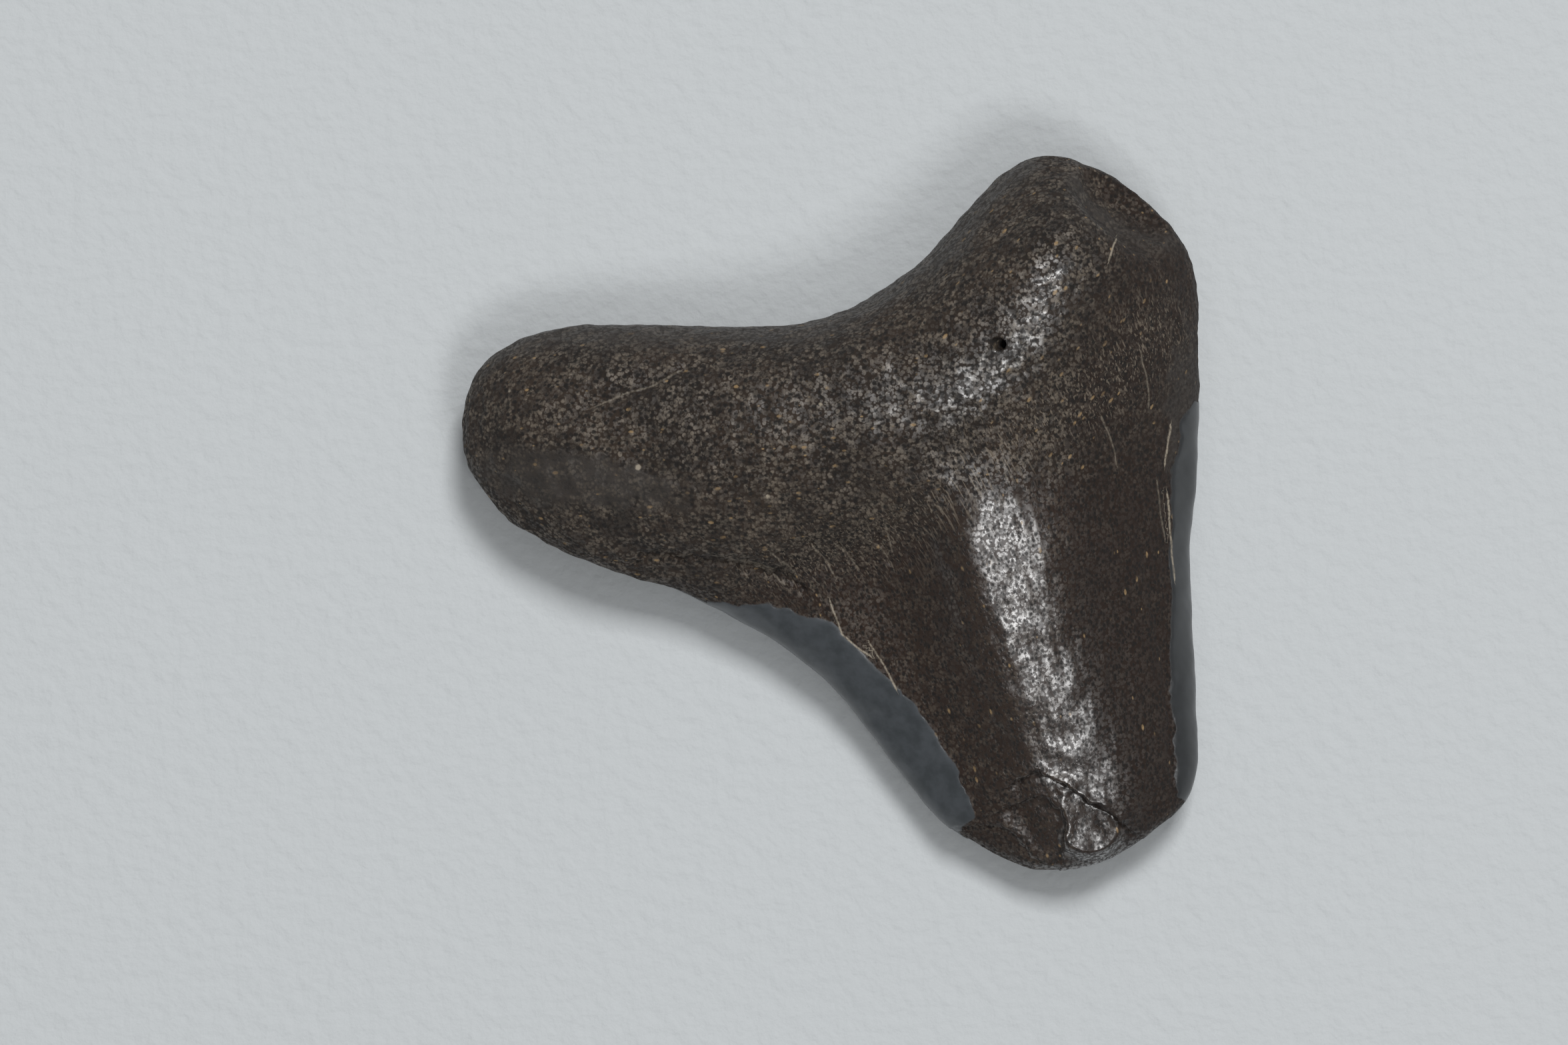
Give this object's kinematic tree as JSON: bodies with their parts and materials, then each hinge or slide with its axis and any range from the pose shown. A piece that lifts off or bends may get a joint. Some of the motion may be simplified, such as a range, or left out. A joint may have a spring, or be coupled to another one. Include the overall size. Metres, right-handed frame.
{
  "type": "fossil shark tooth",
  "caption": "Water-worn fossil shark tooth with two root lobes and a broken crown, lying flat with its inner face up.",
  "frame": {"origin": "under the middle of the tooth's box, on the surface that it rests on", "axes": "+Z out of the inner face, which looks up; -Y from the root towards the crown's broken tip; -X along the long root lobe"},
  "size_m": [0.0299, 0.0292, 0.0094],
  "materials": {
    "fossil_tooth": "water-worn, satin"
  },
  "bodies": {
    "root": {"tooth": "fossil_tooth"}
  },
  "joints": []
}
